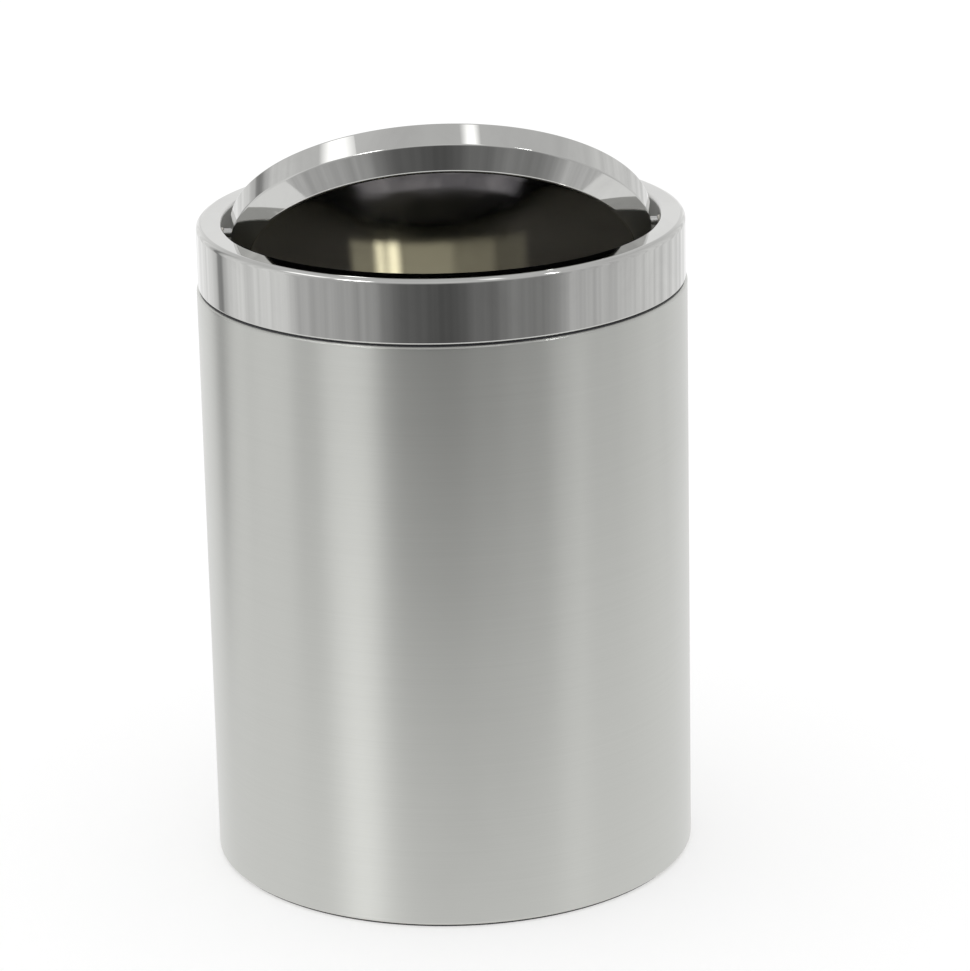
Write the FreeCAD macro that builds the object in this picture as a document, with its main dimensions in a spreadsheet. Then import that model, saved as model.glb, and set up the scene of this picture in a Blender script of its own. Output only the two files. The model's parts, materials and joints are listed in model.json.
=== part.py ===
import FreeCAD, Part
import os

import Sketcher

# Swing-top trash can: a brushed steel tube on a plastic foot ring, and a polished collar that lifts off
# with the lid hung in it on two pins. Millimetres and degrees, +Z up, origin on the floor at the centre.
# The lid is drawn half open, front edge up. Left is -X and right is +X, and the front faces -Y.

SIZES = {
    # Body: a rolled tube with its top and bottom edges turned in
    "body_diameter": 200.0,
    "body_height": 244.0,
    "body_sheet": 0.8,
    "rim_ledge": 5.0,
    "rim_inside_bend": 0.3,
    "foot_ledge": 6.0,
    "foot_inside_bend": 0.6,
    # Foot ring: a plastic sole below the body, with a lip that snaps over the body's turned-in foot
    "foot_lift": 1.0,
    "foot_inset": 2.0,
    "foot_sole": 10.0,
    "foot_web": 0.6,
    "foot_lip": 2.0,
    "foot_lip_height": 5.0,
    "foot_fit": 0.3,
    # Base: a plastic floor that stands on the turned-in foot, with a sunk panel in its middle
    "base_height": 10.0,
    "base_wall": 1.6,
    "base_inside_bend": 1.8,
    "base_panel_diameter": 140.0,
    "base_panel_drop": 2.0,
    "base_fit": 0.1,
    # Collar: a polished channel ring, open below, with a folded hem at the foot of its outer wall
    "collar_inset": 0.6,
    "collar_height": 26.5,
    "collar_band": 10.3,
    "collar_sheet": 0.8,
    "collar_outer_inside_bend": 1.7,
    "collar_inner_inside_bend": 0.5,
    "hem_height": 4.0,
    "hem_round": 1.2,
    # Locating ring: plastic, snaps over the collar's hem and drops into the body's mouth
    "seam_gap": 0.5,
    "seam_inset": 0.5,
    "mouth_fit": 0.4,
    "ring_wall": 1.8,
    "ring_depth": 12.0,
    "ring_lead_in": 0.6,
    "shelf_thickness": 2.0,
    "shelf_inset": 0.2,
    "upstand_height": 8.0,
    "hem_fit": 0.1,
    # Snap beads on both plastic rings
    "bead_reach": 0.5,
    "bead_land": 0.6,
    "bead_slope": 1.2,
    "bead_fit": 0.2,
    # Lid: a drawn dish with a crowned floor and a rim folded flat inwards, heights from the pivot axis
    "lid_gap": 3.7,
    "lid_sheet": 0.7,
    "rim_rise": 4.1,
    "rim_round": 0.65,
    "wall_height": 9.6,
    "nut_margin": 0.7,
    "dish_depth": 17.6,
    "dish_taper": 7.4,
    "dish_crown": 0.8,
    "crease_inside_bend": 1.3,
    "corner_inside_bend": 0.6,
    "pivot_drop": 5.1,
    "lid_tilt": 40.0,
    # Pivots: a shouldered pin through the lid's rim, a nut in the dish, a bush in the collar, a clip
    "pin_diameter": 2.5,
    "pin_fit": 0.05,
    "pin_shoulder": 0.55,
    "pin_tail": 0.8,
    "pin_tip": 0.9,
    "end_play": 0.3,
    "bush_wall": 0.45,
    "bush_flange": 0.5,
    "bush_flange_thickness": 0.8,
    "bush_reach": 1.2,
    "bush_seat": 0.03,
    "nut_flats": 5.0,
    "nut_height": 2.0,
    "groove_depth": 0.3,
    "clip_thickness": 0.5,
    "clip_diameter": 3.8,
    "clip_slot": 1.4,
    "clip_fit": 0.05,
}

# A rounding on each side of an edge takes at most this share of the edge's thickness, and the one
# outside the collar's hem at most the larger share.
ROUND_SHARE = 0.48
HEM_ROUND_SHARE = 0.8

# Radii, heights and distances that follow from the sizes. r is a radius from the bin's axis, z a height
# above the floor, h a height above the pivot axis, and x a distance from the centre along that axis.
# The edge of the base's sunk panel slopes at 45 degrees.
PLACES = {
    "body_r": "Sizes.body_diameter / 2",
    "bore_r": "body_r - Sizes.body_sheet",
    "mouth_r": "body_r - Sizes.rim_ledge",
    "foot_hole_r": "body_r - Sizes.foot_ledge",
    "foot_top_z": "Sizes.foot_lift + Sizes.body_sheet",
    "rim_under_z": "Sizes.body_height - Sizes.body_sheet",
    "rim_bend": "Sizes.rim_inside_bend + Sizes.body_sheet",
    "foot_bend": "Sizes.foot_inside_bend + Sizes.body_sheet",
    "sole_r": "body_r - Sizes.foot_inset",
    "sole_inner_r": "sole_r - Sizes.foot_sole",
    "web_z": "Sizes.foot_lift + Sizes.foot_web",
    "lip_r": "foot_hole_r - Sizes.foot_fit",
    "lip_inner_r": "lip_r - Sizes.foot_lip",
    "lip_top_z": "Sizes.foot_lift + Sizes.foot_lip_height",
    "lip_bead_r": "lip_r + Sizes.foot_fit + Sizes.bead_reach",
    "lip_bead_z": "foot_top_z + Sizes.bead_fit",
    "lip_land_z": "lip_bead_z + Sizes.bead_land",
    "lip_slope_z": "lip_land_z + Sizes.bead_slope",
    "pan_r": "bore_r - Sizes.foot_inside_bend - Sizes.base_fit",
    "pan_inner_r": "pan_r - Sizes.base_wall",
    "pan_under_z": "Sizes.base_height - Sizes.base_wall",
    "pan_bend": "Sizes.base_inside_bend + Sizes.base_wall",
    "panel_r": "Sizes.base_panel_diameter / 2",
    "panel_edge_r": "panel_r + Sizes.base_panel_drop",
    "panel_z": "Sizes.base_height - Sizes.base_panel_drop",
    "panel_under_z": "pan_under_z - Sizes.base_panel_drop",
    "panel_miter": "Sizes.base_wall * tan(22.5 deg)",
    "panel_under_r": "panel_r + panel_miter",
    "panel_under_edge_r": "panel_edge_r + panel_miter",
    "collar_r": "body_r - Sizes.collar_inset",
    "channel_r": "collar_r - Sizes.collar_sheet",
    "hem_r": "channel_r - Sizes.collar_sheet",
    "collar_inner_r": "collar_r - Sizes.collar_band",
    "collar_back_r": "collar_inner_r + Sizes.collar_sheet",
    "seam_z": "Sizes.body_height + Sizes.seam_gap",
    "hem_top_z": "seam_z + Sizes.hem_height",
    "collar_top_z": "seam_z + Sizes.collar_height",
    "channel_z": "collar_top_z - Sizes.collar_sheet",
    "collar_outer_bend": "Sizes.collar_outer_inside_bend + Sizes.collar_sheet",
    "collar_inner_bend": "Sizes.collar_inner_inside_bend + Sizes.collar_sheet",
    "collar_hem_round": f"min(Sizes.hem_round; 2 * Sizes.collar_sheet * {HEM_ROUND_SHARE})",
    "seam_r": "collar_r - Sizes.seam_inset",
    "upstand_r": "hem_r - Sizes.hem_fit",
    "upstand_inner_r": "upstand_r - Sizes.ring_wall",
    "upstand_top_z": "hem_top_z + Sizes.upstand_height - Sizes.hem_height",
    "hem_bead_r": "upstand_r + Sizes.bead_reach",
    "hem_bead_z": "hem_top_z + Sizes.bead_fit",
    "hem_land_z": "hem_bead_z + Sizes.bead_land",
    "hem_slope_z": "hem_land_z + Sizes.bead_slope",
    "spigot_r": "mouth_r - Sizes.mouth_fit",
    "spigot_inner_r": "spigot_r - Sizes.ring_wall",
    "spigot_z": "Sizes.body_height - Sizes.ring_depth",
    "shelf_r": "min(collar_inner_r + Sizes.shelf_inset; spigot_inner_r - Sizes.shelf_inset)",
    "shelf_z": "seam_z - Sizes.shelf_thickness",
    "pivot_z": "collar_top_z - Sizes.pivot_drop",
    "lid_r": "collar_inner_r - Sizes.lid_gap",
    "lid_bore_r": "lid_r - Sizes.lid_sheet",
    "fold_r": "lid_bore_r - Sizes.lid_sheet",
    "fold_h": "-(Sizes.nut_flats / 2 + Sizes.nut_margin)",
    "corner_h": "Sizes.rim_rise - Sizes.wall_height",
    "crease_r": "lid_r - Sizes.dish_taper",
    "crease_h": "Sizes.rim_rise - Sizes.dish_depth",
    "crown_h": "crease_h + Sizes.dish_crown",
    "cone_turn": "atan(Sizes.dish_taper / (corner_h - crease_h))",
    "floor_turn": "2 * atan(Sizes.dish_crown / crease_r)",
    "crease_miter": "Sizes.lid_sheet / (1 + sin(cone_turn - floor_turn))",
    "corner_inner_h": "corner_h + Sizes.lid_sheet * tan(cone_turn / 2)",
    "crease_inner_r": "crease_r - crease_miter * (cos(cone_turn) - sin(floor_turn))",
    "crease_inner_h": "crease_h + crease_miter * (sin(cone_turn) + cos(floor_turn))",
    "crown_inner_h": "crown_h + Sizes.lid_sheet",
    "crease_bend": "Sizes.crease_inside_bend + Sizes.lid_sheet",
    "corner_bend": "Sizes.corner_inside_bend + Sizes.lid_sheet",
    "lid_rim_round": f"min(Sizes.rim_round; 2 * Sizes.lid_sheet * {ROUND_SHARE})",
    "pin_r": "Sizes.pin_diameter / 2",
    "pin_hole_r": "pin_r + Sizes.pin_fit",
    "pin_shoulder_r": "pin_r + Sizes.pin_shoulder",
    "pin_groove_r": "pin_r - Sizes.groove_depth",
    "bush_r": "pin_hole_r + Sizes.bush_wall",
    "bush_hole_r": "bush_r + Sizes.bush_seat",
    "bush_flange_r": "bush_r + Sizes.bush_flange",
    "bush_seat_x": "sqrt(collar_inner_r ^ 2 - bush_flange_r ^ 2)",
    "bush_face_x": "bush_seat_x - Sizes.bush_flange_thickness",
    "bush_end_x": "collar_back_r + Sizes.bush_reach",
    "pin_shoulder_x": "bush_face_x - Sizes.end_play",
    "clip_x": "bush_end_x + Sizes.end_play",
    "clip_end_x": "clip_x + Sizes.clip_thickness",
    "groove_x": "clip_x - Sizes.clip_fit",
    "groove_end_x": "clip_end_x + Sizes.clip_fit",
    "pin_end_x": "groove_end_x + Sizes.pin_tip",
    "clip_r": "Sizes.clip_diameter / 2",
    "clip_bore_r": "pin_groove_r + Sizes.clip_fit",
    "clip_slot_y": "Sizes.clip_slot / 2",
    "nut_corner_r": "Sizes.nut_flats / sqrt(3)",
    "nut_corner_y": "Sizes.nut_flats / sqrt(12)",
    "nut_flat_z": "Sizes.nut_flats / 2",
    "nut_seat_x": "sqrt(fold_r ^ 2 - nut_corner_r ^ 2)",
    "nut_back_x": "nut_seat_x - Sizes.nut_height",
    "pin_tail_x": "nut_back_x - Sizes.pin_tail",
}

RIGHT = 1
LEFT = -1
SIDES = {"right": RIGHT, "left": LEFT}
NEAR = 0.01

doc = FreeCAD.newDocument("swing_top_trash_can")
sizes = doc.addObject("Spreadsheet::Sheet", "Sizes")
places = doc.addObject("Spreadsheet::Sheet", "Places")


def fill_sheet(sheet, cells):
    """Write one row per named cell: the name in column A, its value under that alias in column B."""
    for row, (alias, content) in enumerate(cells.items(), start=1):
        sheet.set(f"A{row}", alias)
        sheet.set(f"B{row}", content)
        sheet.setAlias(f"B{row}", alias)
    doc.recompute()


def cell(name):
    """The sheet's own name for a cell, with the sign that a mirrored side gives it."""
    sign = "-" if name.startswith("-") else ""
    alias = name.lstrip("-")
    sheet = "Sizes" if alias in SIZES else "Places"
    return f"{sign}{sheet}.{alias}"


def value(name):
    """The present value of a named cell."""
    return float(sizes.evalExpression(cell(name)))


def new_body(label):
    body = doc.addObject("PartDesign::Body", label)
    body.Label = label
    return body


def new_sketch(body, name, role):
    """An empty sketch on one of the body's own origin planes."""
    sketch = body.newObject("Sketcher::SketchObject", f"{body.Name}_{name}")
    plane = next(item for item in body.Origin.OriginFeatures if item.Role == role)
    sketch.AttachmentSupport = (plane, [""])
    sketch.MapMode = "FlatFace"
    return sketch


def tie(sketch, kind, start, end, name):
    """Hold a distance between two sketch points at a named size."""
    index = sketch.addConstraint(Sketcher.Constraint(kind, *start, *end, value(name)))
    sketch.setExpression(f"Constraints[{index}]", cell(name))


def crown_arc(foot, crown):
    """An arc about the upright axis, from its foot beside the axis up to its crown on it."""
    middle = FreeCAD.Vector(foot.x / 2, (foot.y + 3 * crown.y) / 4, 0)
    return Part.Arc(foot, middle, crown)


def outline(sketch, corners, crowned=False):
    """A closed outline, each corner tied to its named places, or for "" to an axis.

    Its edges are straight, apart from the last but one if the outline is crowned.
    """
    origin = (-1, 1)
    points = []
    for across, up in corners:
        at_x = value(across) if across else 0.0
        at_y = value(up) if up else 0.0
        points.append(FreeCAD.Vector(at_x, at_y, 0))
    count = len(points)
    arc = count - 2 if crowned else None
    first = sketch.GeometryCount
    for index, point in enumerate(points):
        after = points[(index + 1) % count]
        edge = crown_arc(point, after) if index == arc else Part.LineSegment(point, after)
        sketch.addGeometry(edge, False)
    for index in range(count):
        after = (index + 1) % count
        sketch.addConstraint(Sketcher.Constraint("Coincident", first + index, 2, first + after, 1))
    for index, (across, up) in enumerate(corners):
        corner = (first + index, 1)
        if across:
            tie(sketch, "DistanceX", origin, corner, across)
        else:
            sketch.addConstraint(Sketcher.Constraint("PointOnObject", *corner, -2))
        if up:
            tie(sketch, "DistanceY", origin, corner, up)
        else:
            sketch.addConstraint(Sketcher.Constraint("PointOnObject", *corner, -1))
    if crowned:
        sketch.addConstraint(Sketcher.Constraint("PointOnObject", first + arc, 3, -2))


def circle(sketch, radius):
    """A circle about the sketch's origin."""
    ring = Part.Circle(FreeCAD.Vector(0, 0, 0), FreeCAD.Vector(0, 0, 1), value(radius))
    index = sketch.addGeometry(ring, False)
    sketch.addConstraint(Sketcher.Constraint("Coincident", index, 3, -1, 1))
    held = sketch.addConstraint(Sketcher.Constraint("Radius", index, value(radius)))
    sketch.setExpression(f"Constraints[{held}]", cell(radius))


def revolve(body, name, corners, axis="V_Axis", crowned=False, feature="Revolution"):
    """Turn an outline in the XZ plane about one of its axes, to add it to the body or cut it out."""
    sketch = new_sketch(body, f"{name}_outline", "XZ_Plane")
    outline(sketch, corners, crowned)
    turned = body.newObject(f"PartDesign::{feature}", f"{body.Name}_{name}")
    turned.Profile = (sketch, [""])
    turned.ReferenceAxis = (sketch, [axis])
    turned.Angle = 360
    doc.recompute()
    return turned


def rounded(body, name, base, rings, radius):
    """Round the circular edges that lie at the given radii and heights."""
    edges = []
    for number, edge in enumerate(base.Shape.Edges, start=1):
        if edge.Degenerated or edge.Curve.TypeId != "Part::GeomCircle":
            continue
        for ring_r, ring_z in rings:
            at_radius = abs(edge.Curve.Radius - value(ring_r)) < NEAR
            at_height = abs(edge.Curve.Center.z - value(ring_z)) < NEAR
            if at_radius and at_height:
                edges.append(f"Edge{number}")
    if len(edges) < len(rings):
        raise RuntimeError(f"{body.Label}: {name} finds {len(edges)} of {len(rings)} edges")
    fillet = body.newObject("PartDesign::Fillet", f"{body.Name}_{name}")
    fillet.Base = (base, edges)
    fillet.Radius = value(radius)
    fillet.setExpression("Radius", cell(radius))
    doc.recompute()
    return fillet


def cut_across(body, name, sketch, reach):
    """Cut a sketch in the YZ plane straight through along X, and check that it takes something away."""
    before = body.Shape.Volume
    cut = body.newObject("PartDesign::Pocket", f"{body.Name}_{name}")
    cut.Profile = (sketch, [""])
    cut.SideType = "Symmetric"
    cut.setExpression("Length", f"2 * {cell(reach)}")
    doc.recompute()
    if body.Shape.Volume >= before:
        raise RuntimeError(f"{body.Label}: {name} cuts nothing")


def raise_to_pivot(body):
    """Lift a piece that was drawn about the pivot axis to that axis."""
    body.setExpression("Placement.Base.z", cell("pivot_z"))


def tilt_with_lid(body):
    """Lift a piece of the lid to the pivot axis and turn it with the lid, front edge up."""
    turn = FreeCAD.Rotation(FreeCAD.Vector(-1, 0, 0), value("lid_tilt"))
    body.Placement = FreeCAD.Placement(FreeCAD.Vector(0, 0, value("pivot_z")), turn)
    raise_to_pivot(body)
    body.setExpression("Placement.Rotation.Angle", cell("lid_tilt"))


def mirrored(corners, side):
    """The same outline on the other side of the bin."""
    if side == RIGHT:
        return corners
    return [(f"-{across}", up) for across, up in corners]


def make_body_shell():
    body = new_body("body_shell")
    tube = revolve(body, "tube", [
        ("body_r", "foot_lift"), ("body_r", "body_height"),
        ("mouth_r", "body_height"), ("mouth_r", "rim_under_z"),
        ("bore_r", "rim_under_z"), ("bore_r", "foot_top_z"),
        ("foot_hole_r", "foot_top_z"), ("foot_hole_r", "foot_lift"),
    ])
    rim = rounded(body, "rim_outside", tube, [("body_r", "body_height")], "rim_bend")
    rim = rounded(body, "rim_inside", rim, [("bore_r", "rim_under_z")], "rim_inside_bend")
    foot = rounded(body, "foot_outside", rim, [("body_r", "foot_lift")], "foot_bend")
    rounded(body, "foot_inside", foot, [("bore_r", "foot_top_z")], "foot_inside_bend")
    return body


def make_foot_ring():
    body = new_body("foot_ring")
    revolve(body, "ring", [
        ("sole_r", ""), ("sole_r", "foot_lift"),
        ("lip_r", "foot_lift"), ("lip_r", "lip_bead_z"),
        ("lip_bead_r", "lip_bead_z"), ("lip_bead_r", "lip_land_z"),
        ("lip_r", "lip_slope_z"), ("lip_r", "lip_top_z"),
        ("lip_inner_r", "lip_top_z"), ("lip_inner_r", "web_z"),
        ("sole_inner_r", "web_z"), ("sole_inner_r", ""),
    ])
    return body


def make_base_pan():
    body = new_body("base_pan")
    pan = revolve(body, "pan", [
        ("", "panel_z"), ("panel_r", "panel_z"),
        ("panel_edge_r", "base_height"), ("pan_r", "base_height"),
        ("pan_r", "foot_top_z"), ("pan_inner_r", "foot_top_z"),
        ("pan_inner_r", "pan_under_z"), ("panel_under_edge_r", "pan_under_z"),
        ("panel_under_r", "panel_under_z"), ("", "panel_under_z"),
    ])
    bend = rounded(body, "bend_outside", pan, [("pan_r", "base_height")], "pan_bend")
    rounded(body, "bend_inside", bend, [("pan_inner_r", "pan_under_z")], "base_inside_bend")
    return body


def make_collar_shell():
    body = new_body("collar_shell")
    channel = revolve(body, "channel", [
        ("collar_r", "seam_z"), ("collar_r", "collar_top_z"),
        ("collar_inner_r", "collar_top_z"), ("collar_inner_r", "seam_z"),
        ("collar_back_r", "seam_z"), ("collar_back_r", "channel_z"),
        ("channel_r", "channel_z"), ("channel_r", "hem_top_z"),
        ("hem_r", "hem_top_z"), ("hem_r", "seam_z"),
    ])
    top = rounded(body, "shoulder", channel, [("collar_r", "collar_top_z")], "collar_outer_bend")
    top = rounded(body, "shoulder_inside", top, [("channel_r", "channel_z")], "collar_outer_inside_bend")
    top = rounded(body, "lip", top, [("collar_inner_r", "collar_top_z")], "collar_inner_bend")
    top = rounded(body, "lip_inside", top, [("collar_back_r", "channel_z")], "collar_inner_inside_bend")
    rounded(body, "hem", top, [("collar_r", "seam_z")], "collar_hem_round")
    holes = new_sketch(body, "bush_holes_outline", "YZ_Plane")
    holes.setExpression("AttachmentOffset.Base.y", cell("pivot_z"))
    circle(holes, "bush_hole_r")
    cut_across(body, "bush_holes", holes, "bush_end_x")
    return body


def make_locating_ring():
    body = new_body("locating_ring")
    ring = revolve(body, "ring", [
        ("seam_r", "body_height"), ("seam_r", "seam_z"),
        ("upstand_r", "seam_z"), ("upstand_r", "hem_bead_z"),
        ("hem_bead_r", "hem_bead_z"), ("hem_bead_r", "hem_land_z"),
        ("upstand_r", "hem_slope_z"), ("upstand_r", "upstand_top_z"),
        ("upstand_inner_r", "upstand_top_z"), ("upstand_inner_r", "seam_z"),
        ("shelf_r", "seam_z"), ("shelf_r", "shelf_z"),
        ("spigot_inner_r", "shelf_z"), ("spigot_inner_r", "spigot_z"),
        ("spigot_r", "spigot_z"), ("spigot_r", "body_height"),
    ])
    rounded(body, "lead_in", ring, [("spigot_r", "spigot_z")], "ring_lead_in")
    return body


def make_lid_dish():
    """A wall, a cone and a floor that is crowned upwards meet in the dish's corner and its crease.

    It is turned solid, rounded and hollowed from above, which leaves the fold inside the rim.
    """
    body = new_body("lid_dish")
    dish = revolve(body, "cup", [
        ("", "rim_rise"), ("lid_r", "rim_rise"), ("lid_r", "corner_h"),
        ("crease_r", "crease_h"), ("", "crown_h"),
    ], crowned=True)
    dish = rounded(body, "crease", dish, [("crease_r", "crease_h")], "crease_bend")
    rounded(body, "corner", dish, [("lid_r", "corner_h")], "corner_bend")
    dish = revolve(body, "hollow", [
        ("", "rim_rise"), ("fold_r", "rim_rise"), ("fold_r", "fold_h"),
        ("lid_bore_r", "fold_h"), ("lid_bore_r", "corner_inner_h"),
        ("crease_inner_r", "crease_inner_h"), ("", "crown_inner_h"),
    ], crowned=True, feature="Groove")
    dish = rounded(body, "crease_inside", dish, [("crease_inner_r", "crease_inner_h")], "crease_inside_bend")
    dish = rounded(body, "corner_inside", dish, [("lid_bore_r", "corner_inner_h")], "corner_inside_bend")
    rounded(body, "rim", dish, [("lid_r", "rim_rise"), ("fold_r", "rim_rise")], "lid_rim_round")
    holes = new_sketch(body, "pin_holes_outline", "YZ_Plane")
    circle(holes, "pin_hole_r")
    cut_across(body, "pin_holes", holes, "lid_r")
    tilt_with_lid(body)
    return body


def make_pivot_bush(name, side):
    body = new_body(f"pivot_bush_{name}")
    revolve(body, "bush", mirrored([
        ("bush_face_x", "pin_hole_r"), ("bush_face_x", "bush_flange_r"),
        ("bush_seat_x", "bush_flange_r"), ("bush_seat_x", "bush_r"),
        ("bush_end_x", "bush_r"), ("bush_end_x", "pin_hole_r"),
    ], side), axis="H_Axis")
    raise_to_pivot(body)
    return body


def make_pivot_pin(name, side):
    body = new_body(f"pivot_pin_{name}")
    revolve(body, "pin", mirrored([
        ("pin_tail_x", ""), ("pin_tail_x", "pin_r"),
        ("lid_r", "pin_r"), ("lid_r", "pin_shoulder_r"),
        ("pin_shoulder_x", "pin_shoulder_r"), ("pin_shoulder_x", "pin_r"),
        ("groove_x", "pin_r"), ("groove_x", "pin_groove_r"),
        ("groove_end_x", "pin_groove_r"), ("groove_end_x", "pin_r"),
        ("pin_end_x", "pin_r"), ("pin_end_x", ""),
    ], side), axis="H_Axis")
    tilt_with_lid(body)
    return body


def make_pivot_nut(name, side):
    body = new_body(f"pivot_nut_{name}")
    sketch = new_sketch(body, "hexagon", "YZ_Plane")
    outline(sketch, [
        ("nut_corner_r", ""), ("nut_corner_y", "nut_flat_z"), ("-nut_corner_y", "nut_flat_z"),
        ("-nut_corner_r", ""), ("-nut_corner_y", "-nut_flat_z"), ("nut_corner_y", "-nut_flat_z"),
    ])
    circle(sketch, "pin_hole_r")
    inner_face = "nut_back_x" if side == RIGHT else "-nut_seat_x"
    sketch.setExpression("AttachmentOffset.Base.z", cell(inner_face))
    block = body.newObject("PartDesign::Pad", f"{body.Name}_block")
    block.Profile = (sketch, [""])
    block.setExpression("Length", cell("nut_height"))
    doc.recompute()
    tilt_with_lid(body)
    return body


def make_pivot_clip(name, side):
    body = new_body(f"pivot_clip_{name}")
    revolve(body, "washer", mirrored([
        ("clip_x", "clip_bore_r"), ("clip_x", "clip_r"),
        ("clip_end_x", "clip_r"), ("clip_end_x", "clip_bore_r"),
    ], side), axis="H_Axis")
    slot = new_sketch(body, "slot_outline", "YZ_Plane")
    outline(slot, [
        ("clip_slot_y", ""), ("clip_slot_y", "-clip_r"), ("-clip_slot_y", "-clip_r"), ("-clip_slot_y", ""),
    ])
    cut_across(body, "slot", slot, "pin_end_x")
    tilt_with_lid(body)
    return body


def make_all():
    pieces = [
        make_body_shell(), make_foot_ring(), make_base_pan(),
        make_collar_shell(), make_locating_ring(), make_lid_dish(),
    ]
    for name, side in SIDES.items():
        pieces.append(make_pivot_bush(name, side))
        pieces.append(make_pivot_pin(name, side))
        pieces.append(make_pivot_nut(name, side))
        pieces.append(make_pivot_clip(name, side))
    doc.recompute()
    return pieces


def check(pieces):
    """Stop on a failed object, or on a piece that isn't one valid solid."""
    for item in doc.Objects:
        if "Invalid" in item.State or "Error" in item.State:
            raise RuntimeError(f"{item.Label} failed: {item.State}")
    for piece in pieces:
        if piece.Shape.isNull() or not piece.Shape.isValid() or len(piece.Shape.Solids) != 1:
            raise RuntimeError(f"{piece.Label} is not one valid solid")


def export(pieces):
    os.makedirs("parts", exist_ok=True)
    for piece in pieces:
        piece.Shape.exportStep(f"parts/{piece.Label}.step")


fill_sheet(sizes, {alias: str(number) for alias, number in SIZES.items()})
fill_sheet(places, {alias: f"={formula}" for alias, formula in PLACES.items()})
made = make_all()
check(made)
export(made)
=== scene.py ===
import json
import math

import bmesh
import bpy
from bpy.props import FloatProperty, FloatVectorProperty, PointerProperty
from mathutils import Matrix, Vector


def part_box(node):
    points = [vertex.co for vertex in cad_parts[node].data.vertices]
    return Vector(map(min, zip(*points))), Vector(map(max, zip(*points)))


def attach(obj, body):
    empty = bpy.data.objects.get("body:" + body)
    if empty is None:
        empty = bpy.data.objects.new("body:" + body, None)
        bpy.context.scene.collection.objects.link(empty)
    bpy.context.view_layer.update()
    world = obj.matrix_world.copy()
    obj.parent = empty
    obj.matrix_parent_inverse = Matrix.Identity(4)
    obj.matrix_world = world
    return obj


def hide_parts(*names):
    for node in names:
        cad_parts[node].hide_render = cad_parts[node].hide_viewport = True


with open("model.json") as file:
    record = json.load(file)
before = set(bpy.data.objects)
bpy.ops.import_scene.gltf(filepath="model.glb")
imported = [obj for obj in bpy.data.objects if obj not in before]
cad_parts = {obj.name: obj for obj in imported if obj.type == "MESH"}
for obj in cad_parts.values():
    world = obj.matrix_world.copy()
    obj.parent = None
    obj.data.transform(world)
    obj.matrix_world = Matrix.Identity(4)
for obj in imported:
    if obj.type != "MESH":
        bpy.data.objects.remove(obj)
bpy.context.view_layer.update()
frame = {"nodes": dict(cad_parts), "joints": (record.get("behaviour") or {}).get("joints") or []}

bl_info = {
    "name": "Swing-Top Trash Can",
    "version": (1, 0, 0),
    "blender": (4, 5, 0),
    "location": "View3D > Sidebar > Trash Can",
    "description": "Dresses the packed swing-top trash can and sets it on a plain studio floor",
    "category": "Object",
}

MM = 0.001
UP = Vector((0.0, 0.0, 1.0))
FULL_TURN = 2 * math.pi

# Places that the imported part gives
BODY_LOW, BODY_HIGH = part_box("body_shell")
BASE_LOW, BASE_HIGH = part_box("base_pan")
COLLAR_LOW, COLLAR_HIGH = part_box("collar_shell")
LID_LOW, LID_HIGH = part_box("lid_dish")
PIVOT = Vector(next(joint["pos_m"] for joint in frame["joints"] if joint["name"] == "lid_swing"))
# The drill on the pivot axis ends in the hollow of the collar, between lid and outer wall
DRILL_REACH = (LID_HIGH.x + COLLAR_HIGH.x) / 2

# How finely the pieces are divided
TURN_STEPS = 256
BEND_STEPS = 6
HOLE_STEPS = 64
CROWN_STEPS = 16
LONGEST_EDGE = 12 * MM
# Vertices closer than this are one
NEAR = 0.001 * MM
SMOOTH_ANGLE = math.radians(35)
NUT_CHAMFER_SLOPE = math.tan(math.radians(60))
# The bends of a fold take up nearly all of its width, and a short edge is left
FOLD_FIT = 0.98

# Finishes: scales per metre
BODY_LINES = {"Across": 3500.0, "Along": 12.0}
TOOL_LINES = {"Across": 9000.0, "Along": 200.0}
BODY_HAZE_SCALE = 12.0
POLISH_HAZE_SCALE = 30.0
BLACK_GRAIN_SCALE = 2500.0
NATURAL_GRAIN_SCALE = 4000.0
# Roughness, as one value or from its lowest to its highest
BRUSHED_ROUGH = (0.29, 0.32)
HAZE_ROUGH = (0, 0.02)
INSIDE_ROUGH = 0.4
POLISHED_ROUGH = (0.03, 0.07)
DULL_ROUGH = 0.45
TURNED_ROUGH = (0.16, 0.26)
BLACK_ROUGH = (0.42, 0.58)
NATURAL_ROUGH = (0.38, 0.5)
# Relief, as depth and strength
BODY_RELIEF = (0.004 * MM, 0.3)
WAVE_RELIEF = (0.05 * MM, 0.2)
TOOL_RELIEF = (0.004 * MM, 0.4)
GRAIN_RELIEF = (0.02 * MM, 0.4)
# The plain sheet inside the bin is half as metallic, and starts this many sheets below the rim's top
INSIDE_METALLIC = 0.5
INSIDE_START = 1.5
# A highlight on the body stretches across its lines, a quarter turn from the shader's own direction
BRUSHED_TURN = 0.25
# The span that holds nearly all values of a noise
NOISE_SPAN = (0.3, 0.7)


def length(name, description, default):
    return FloatProperty(name=name, description=description, default=default, unit="LENGTH", precision=5)


def share(name, description, default):
    return FloatProperty(name=name, description=description, default=default, min=0, max=1, subtype="FACTOR")


def tone(name, description, default):
    return FloatVectorProperty(
        name=name, description=description, default=default, size=4, min=0, max=1, subtype="COLOR")


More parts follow.
